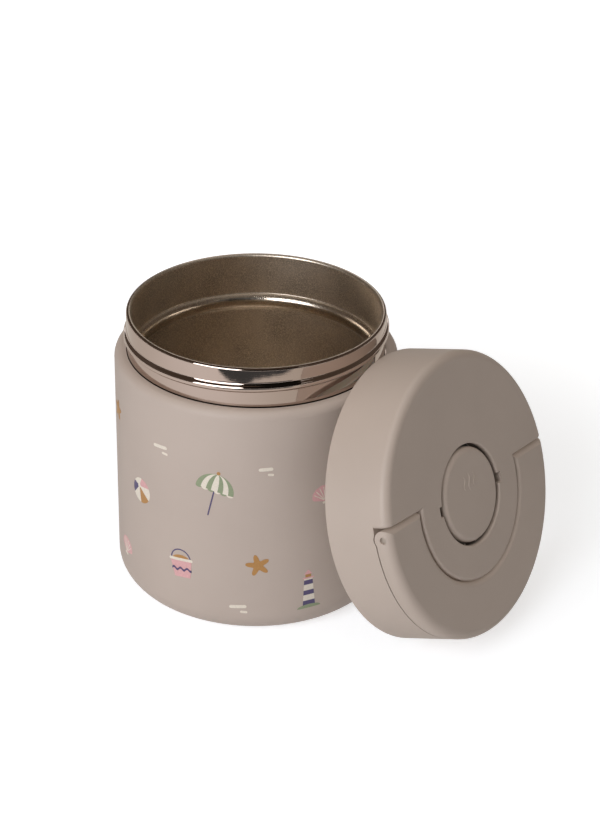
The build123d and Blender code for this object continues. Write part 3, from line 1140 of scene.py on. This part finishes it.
@dataclass
class LidThread(LidPiece):
    """Moulded thread inside the lid: one turn of a rib that tapers at both ends."""

    wall_radius: float = 48.98 * MM
    depth: float = 1.05 * MM
    root: float = 2.4 * MM
    crest: float = 1.2 * MM
    start: float = 3.4 * MM
    pitch: float = 6.6 * MM
    turns: float = 1.05
    fade: float = 20.0
    steps: int = 144

    def section(self) -> list[Point]:
        """Work out the rib's section.

        Returns:
            Its corners in order.
        """
        crown, half = self.wall_radius - self.depth, self.crest / 2
        shoulder = crown + self.depth * 0.15
        lower = [(self.wall_radius, -self.root / 2), (shoulder, -half - 0.12 * MM), (crown, -half + 0.1 * MM)]
        return lower + [(radius, -height) for radius, height in reversed(lower)]

    def build(self) -> None:
        """Build the thread."""
        rib = draw_section("lid_thread", self.section())
        along = 360 * wind(rib, self.pitch, self.turns, self.steps)
        places = read_vertices(rib)
        reach = np.clip(np.minimum(along, 360 * self.turns - along) / self.fade, 0.0, 1.0)
        radius = np.hypot(places[:, 0], places[:, 1])
        grow(places, self.wall_radius - (self.wall_radius - radius) * reach)
        places[:, 2] += self.start
        write_vertices(rib, places)
        self.finish(rib, 40, Body.LID, Slot.INNER)


@dataclass
class VentSpring(LidPiece):
    """Coil spring between the inner lid and the button, with a closed turn at each end."""

    radius: float = 7.2 * MM
    wire: float = 0.45 * MM
    wire_sides: int = 12
    low: float = 17.43 * MM
    high: float = 24.17 * MM
    turns: float = 4.5
    closed: float = 1.0
    closed_pitch: float = 0.94 * MM
    pressed: float = 0.67
    steps: int = 216

    def build(self) -> None:
        """Build the spring."""
        round_wire = ellipse((self.radius, 0.0), (self.wire, self.wire), 90, 450, self.wire_sides)
        coil = draw_section("vent_spring", round_wire)
        rise = self.high - self.low - 2 * self.wire
        pitch = rise / self.turns
        along = wind(coil, pitch, self.turns, self.steps)
        places = read_vertices(coil)
        knees = (0.0, self.closed, self.turns - self.closed, self.turns)
        heights = (0.0, self.closed_pitch, rise - self.closed_pitch, rise)
        places[:, 2] += np.interp(along, knees, heights) - along * pitch + self.low + self.wire
        write_vertices(coil, places)
        open_mesh(coil, "EDGE")
        bpy.ops.mesh.fill_holes(sides=0)
        close_mesh()
        self.finish(coil, 50, Body.LID, Slot.PIN)
        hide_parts("button_spring")
        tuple(self.place.out)
        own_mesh(coil)


@dataclass
class SteamMark(LidPiece):
    """Three small waves of steam, raised on the button over the vent."""

    cap_height: float = 26.0 * MM
    middle: float = 5.0 * MM
    spacing: float = 3.1 * MM
    length: float = 6.4 * MM
    outer_length: float = 0.8
    width: float = 0.7 * MM
    rise: float = 0.22 * MM
    sunk: float = 0.2 * MM
    swing: float = 0.55 * MM
    steps: int = 28

    def wave(self, off: float, length: float) -> Piece:
        """Model one wave as a soft ridge.

        Args:
            off: How far it stands from the mark's middle.
            length: Its length.

        Returns:
            The ridge, about the lid's axis.
        """
        clear_bench()
        bpy.ops.mesh.primitive_grid_add(x_subdivisions=6, y_subdivisions=self.steps, size=1.0)
        ridge = bpy.context.object
        grid = read_vertices(ridge)
        across, along = grid[:, 0] * 2, grid[:, 1] * 2
        taper = np.sqrt(np.clip(1 - np.abs(along) ** 3, 0.0, 1.0))
        sway = self.swing * np.sin(along * math.pi)
        grid[:, 0] = off + sway + across * self.width / 2 * (0.25 + 0.75 * taper)
        grid[:, 1] = self.middle + along * length / 2
        grid[:, 2] = self.cap_height + self.rise * np.cos(across * math.pi / 2) * taper
        write_vertices(ridge, grid)
        use_modifier(ridge, "SOLIDIFY", thickness=self.sunk, offset=-1.0)
        return ridge

    def build(self) -> None:
        """Build the mark."""
        shares = ((-1, self.outer_length), (0, 1.0), (1, self.outer_length))
        waves = [self.wave(index * self.spacing, self.length * share) for index, share in shares]
        self.finish(join_pieces(waves, "steam_mark"), 60, Body.BUTTON, Slot.LID)


@dataclass
class LidDress:
    """Everything that dresses the lid: moulded cover, handle, button, inner lid and seals."""

    cover: MattCoat = MattCoat("moulded_matt", (176, 161, 150), 0.5, (1400.0, 0.008 * MM), (6000.0, 0.003 * MM))
    inner: MattCoat = MattCoat(
        "inner_plastic", (208, 204, 198), 0.42, (500.0, 0.006 * MM), (4200.0, 0.001 * MM), 0.02
    )
    pin: SteelFinish = SteelFinish("pin_steel", (188, 178, 168), SteelWork.DRAWN, 0.55)
    wire: SteelFinish = SteelFinish("spring_wire", (168, 166, 163), SteelWork.DRAWN, 0.22)
    silicone: SoftFinish = SoftFinish("silicone", (222, 219, 210), 0.5, 900.0, 0.006 * MM, 0.25)
    foam: SoftFinish = SoftFinish("rigid_foam", (236, 232, 218), 0.85, 1700.0, 0.12 * MM)

    def build(self) -> None:
        """Dress the lid's nodes and add its pieces."""
        cover, inner = self.cover.material(), self.inner.material()
        dress_nodes(cover, Slot.LID, "lid_cover", "carry_handle", "vent_button")
        dress_nodes(inner, Slot.INNER, "inner_lid", "plug_base", "stem_guide", "vent_stem")
        dress_nodes(self.silicone.material(), Slot.SILICONE, "sealing_ring", "vent_seal")
        dress_nodes(self.pin.material(), Slot.PIN, "pivot_pin_left", "pivot_pin_right")
        dress_nodes(self.foam.material(), Slot.FOAM, "foam_insert")
        place = LidFrame()
        for look in (cover, inner):
            WellShade().lay(place, look)
        LidThread(place, inner).build()
        VentSpring(place, self.wire.material()).build()
        SteamMark(place, cover).build()


# ---- The studio ----


@dataclass
class Softbox:
    """A square soft lamp that is aimed at a point."""

    name: str
    bearing: float
    elevation: float
    distance: float
    size: float
    watts: float
    colour: Colour
    casts_shadow: bool = True

    def build(self, target: Vector) -> None:
        """Set the lamp up and aim it.

        Args:
            target: The point that it is aimed at.
        """
        away = direction(self.bearing, self.elevation)
        lamp = bpy.data.lights.new(self.name, "AREA")
        lamp.shape = "SQUARE"
        lamp.size = self.size
        lamp.energy = self.watts
        lamp.color = linear(self.colour)[:3]
        lamp.use_shadow = self.casts_shadow
        holder = bpy.data.objects.new(self.name, lamp)
        bpy.context.scene.collection.objects.link(holder)
        holder.location = target + away * self.distance
        holder.rotation_euler = (-away).to_track_quat("-Z", "Y").to_euler()


@dataclass
class Flag:
    """A card that only steel sees, as a studio sets up to give polished metal its contrast.

    A second tone makes the card change from its first tone over a reach about a middle.
    """

    name: str
    tone: Colour
    gain: float = 1.0
    far_tone: Colour | None = None
    middle: Point = (0.0, 0.0)
    reach: Point = (0.0, 1.0)

    def material(self) -> Look:
        """Build the card's tone, which no lamp changes.

        Returns:
            The material.
        """
        bench = NodeBench(self.name)
        tone = linear(self.tone)
        if self.far_tone is not None:
            apart = bench.vectors("DISTANCE", bench.place, (*self.middle, 0.0)).outputs["Value"]
            tone = bench.blend(bench.ramp(apart, *self.reach), tone, linear(self.far_tone))
        return bench.swap_shader(bench.add("Emission", {"Color": tone, "Strength": self.gain}))

    def hide(self, card: Piece) -> None:
        """Give the card its tone, and leave it to reflections alone.

        Args:
            card: Its mesh, in place.
        """
        card.name = self.name
        card.data.materials.append(self.material())
        for ray in ("camera", "diffuse", "shadow", "transmission"):
            setattr(card, f"visible_{ray}", False)
        card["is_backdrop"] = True

    def lay(self, corners: Sequence[Point], height: float) -> None:
        """Lay the card flat, at a height over the floor."""
        self.hide(new_polygon(self.name, [(*corner, height) for corner in corners], "NGON"))

    def stand(self, bearing: float, elevation: float, distance: float, size: Point) -> None:
        """Stand the card up so that it faces the jar.

        Args:
            bearing: Its direction from the jar.
            elevation: How high it stands.
            distance: How far away.
            size: Its width and height.
        """
        away = direction(bearing, elevation)
        facing = (-away).to_track_quat("Z", "Y").to_matrix().to_4x4()
        clear_bench()
        bpy.ops.mesh.primitive_plane_add(size=1.0)
        card = bpy.context.object
        card.data.transform(Matrix.Diagonal((*size, 1.0, 1.0)))
        card.data.transform(Matrix.Translation(away * distance) @ facing)
        self.hide(card)

    def surround(self, radius: float, height: float) -> None:
        """Bend the card into a round wall about the set.

        Args:
            radius: Its radius.
            height: Its height.
        """
        clear_bench()
        bpy.ops.mesh.primitive_cylinder_add(vertices=48, radius=radius, depth=height, end_fill_type="NOTHING")
        card = bpy.context.object
        card.data.transform(Matrix.Translation((0, 0, height / 2)))
        self.hide(card)


@dataclass
class Studio:
    """White floor, plain soft light and the camera."""

    target: Vector
    ambient: float = 0.272
    ambient_colour: Colour = (255, 249, 241)
    floor_colour: Colour = (230, 233, 238)
    floor_glow: Point = (0.42, 0.8)
    glow_reach: Point = (0.09, 0.42)
    floor_size: float = 30.0
    camera_place: Place = (0.0, -0.78295, 0.50064)
    camera_right: Place = (0.9998239, -0.01395804, 0.01254397)
    camera_up: Place = (-0.00414875, 0.48748737, 0.87312018)
    lens: float = 103.948

    def build_world(self) -> None:
        """Make a white surround that lights softly."""
        world = bpy.data.worlds.new("surround")
        bpy.context.scene.world = world
        world.use_nodes = True
        bench = NodeBench(world)
        soft = bench.add("Background", {"Color": linear(self.ambient_colour), "Strength": self.ambient})
        white = bench.add("Background", {"Color": WHITE, "Strength": 1.0})
        seen = bench.seen_directly()
        bench.swap_shader(bench.add("MixShader", {0: seen, 1: soft.outputs[0], 2: white.outputs[0]}))

    def build_floor(self) -> None:
        """Lay a white floor that keeps a soft shadow, and glows a little more away from the set."""
        clear_bench()
        bpy.ops.mesh.primitive_plane_add(size=self.floor_size, location=(0, 0, 0))
        floor = bpy.context.object
        floor.name = "studio_floor"
        bench = NodeBench("floor_white")
        away = bench.vectors("LENGTH", bench.place).outputs["Value"]
        glow = bench.math("MULTIPLY", bench.seen_directly(), bench.ramp(away, *self.glow_reach, *self.floor_glow))
        matt = bench.add("BsdfDiffuse", {"Color": linear(self.floor_colour)})
        light = bench.add("Emission", {"Color": WHITE, "Strength": glow})
        both = bench.add("AddShader", {0: matt.outputs[0], 1: light.outputs[0]})
        floor.data.materials.append(bench.swap_shader(both))
        floor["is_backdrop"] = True

    def build_flags(self) -> None:
        """Set up the cards."""
        wedge = [
            (-0.1224, -0.2103), (-0.1069, -0.2143), (-0.0916, -0.2175), (-0.0633, -0.2252), (-0.0473, -0.2267),
            (-0.0316, -0.2289), (-0.0225, -0.2324), (-0.0037, -0.2373), (0.0255, -0.2377), (0.058, -0.2335),
            (0.0997, -0.2211), (0.1189, -0.2135), (0.36, -0.7), (-0.45, -0.7),
        ]
        pool = Flag("card_pool", (252, 247, 245), 1.0, (204, 197, 188), (-0.2, -0.19), (0.0, 0.4))
        pool.lay([(-0.9, -0.9), (0.9, -0.9), (0.9, 0.9), (-0.9, 0.9)], 0.001)
        Flag("card_wedge", (76, 78, 80)).lay(wedge, 0.002)
        Flag("card_dark", (24, 22, 20)).stand(-78.0, 38.0, 0.62, (0.42, 0.5))
        Flag("card_backdrop", (255, 251, 246), 1.3).stand(88.0, 32.0, 1.6, (0.3, 0.7))
        Flag("card_front", (255, 251, 246), 5.5).stand(-96.0, 66.0, 1.1, (0.3, 0.5))
        Flag("card_room", (92, 82, 74)).surround(3.0, 2.6)
        Flag("card_above", (80, 69, 60)).lay([(-1.3, -0.6), (1.3, -0.6), (1.3, 1.7), (-1.3, 1.7)], 0.9)

    def build_camera(self) -> None:
        """Place the camera."""
        right, up = Vector(self.camera_right).normalized(), Vector(self.camera_up).normalized()
        back = right.cross(up).normalized()
        up = back.cross(right)
        lens = bpy.data.cameras.new("camera")
        lens.lens = self.lens
        camera = bpy.data.objects.new("camera", lens)
        bpy.context.scene.collection.objects.link(camera)
        turn = Matrix((right, up, back)).transposed().to_4x4()
        camera.matrix_world = Matrix.Translation(Vector(self.camera_place)) @ turn
        bpy.context.scene.camera = camera

    def build(self) -> None:
        """Build the studio."""
        self.build_world()
        self.build_floor()
        self.build_flags()
        Softbox("key", -125.0, 24.0, 1.3, 0.9, 13.3, (250, 252, 255)).build(self.target)
        Softbox("top", 75.0, 76.0, 1.4, 1.1, 6.1, (255, 250, 243), False).build(self.target)
        self.build_camera()
        bpy.context.scene.view_settings.view_transform = "Standard"


def main() -> None:
    """Dress the jar and the lid and set up the studio."""
    logging.basicConfig(level=logging.INFO, format="%(name)s: %(message)s")
    cad_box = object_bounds()
    JarDress().build()
    LidDress().build()
    Studio((cad_box[0] + cad_box[1]) / 2).build()


if __name__ == "__main__":
    main()
